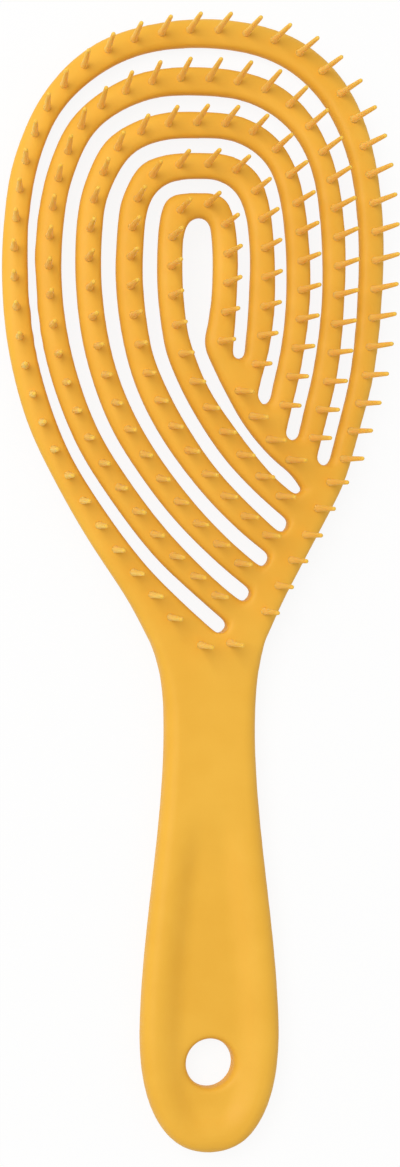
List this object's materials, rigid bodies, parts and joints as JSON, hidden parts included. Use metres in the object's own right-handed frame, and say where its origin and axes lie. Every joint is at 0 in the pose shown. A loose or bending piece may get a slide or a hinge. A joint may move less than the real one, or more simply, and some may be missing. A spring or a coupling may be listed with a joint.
{
  "type": "detangling brush",
  "caption": "Vented detangling hair brush: flat-backed handle with a hanging hole, oval domed head of nested spiral ribs and vent slots, rows of slender round-tipped pins.",
  "frame": {"origin": "middle of the box round the brush, on the plane that its back lies on", "axes": "+Z the way the pins point, +Y from the handle's end to the head's tip, +X to the right seen from above"},
  "size_m": [0.0808, 0.2364, 0.0226],
  "materials": {
    "amber_body": "semi-matt moulded amber polypropylene",
    "amber_pins": "semi-matt moulded amber polypropylene, as the body"
  },
  "bodies": {
    "root": {"handle": "amber_body", "rim": "amber_body", "rib_2": "amber_body", "rib_3": "amber_body", "rib_4": "amber_body", "rib_5": "amber_body", "cross_bar": "amber_body", "rim_pins": "amber_pins", "rib_2_pins": "amber_pins", "rib_3_pins": "amber_pins", "rib_4_pins": "amber_pins", "rib_5_pins": "amber_pins", "cross_bar_pins": "amber_pins", "neck_pins": "amber_pins"}
  },
  "joints": []
}
